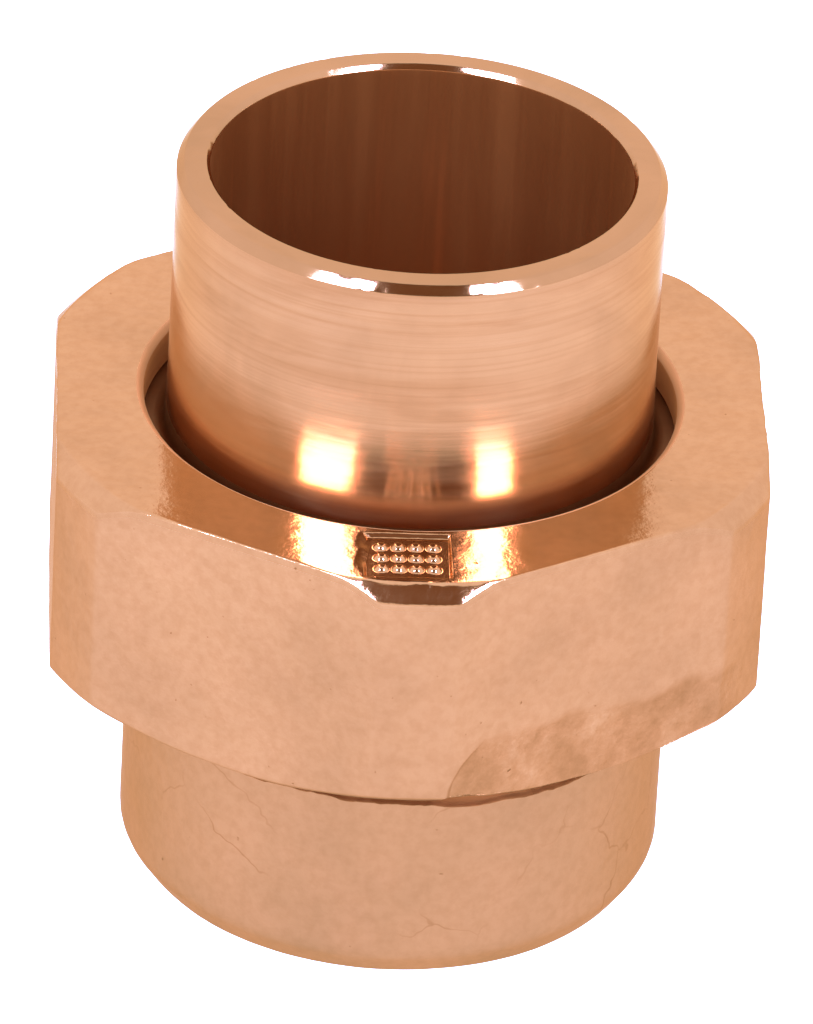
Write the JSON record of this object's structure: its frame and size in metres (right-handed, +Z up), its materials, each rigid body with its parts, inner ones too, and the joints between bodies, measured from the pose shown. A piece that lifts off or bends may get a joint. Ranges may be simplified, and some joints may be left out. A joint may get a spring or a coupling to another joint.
{
  "type": "pipe union",
  "caption": "Copper-coloured pipe union: a solder cup at each end, a round nose drawn onto a conical seat by a hexagon union nut that unscrews to part the pipe.",
  "frame": {"origin": "centre of the lower body's end face, which the union stands on", "axes": "+Z up along the pipe axis towards the tailpiece; -Y towards the nut's front corner, X across two of its flats"},
  "size_m": [0.0696, 0.0762, 0.0773],
  "materials": {
    "body_bronze": "satin cast and turned",
    "nut_bronze": "satin cast",
    "tail_bronze": "polished, turned"
  },
  "bodies": {
    "body": {"union_body": "body_bronze"},
    "tailpiece": {"tailpiece": "tail_bronze"},
    "nut": {"union_nut": "nut_bronze"}
  },
  "joints": [
    {"name": "tailpiece_lift", "type": "slide", "parent": "body", "child": "tailpiece", "axis": [0, 0, 1], "range_m": [0, 0.0127]},
    {"name": "nut_turn", "type": "hinge", "parent": "tailpiece", "child": "nut", "pos_m": [0, 0, 0.039], "axis": [0, 0, 1], "range_deg": [0, 1980]}
  ],
  "couplings": [
    {"joint": "tailpiece_lift", "follows": "nut_turn", "m_per_rad": 0.00036749}
  ]
}
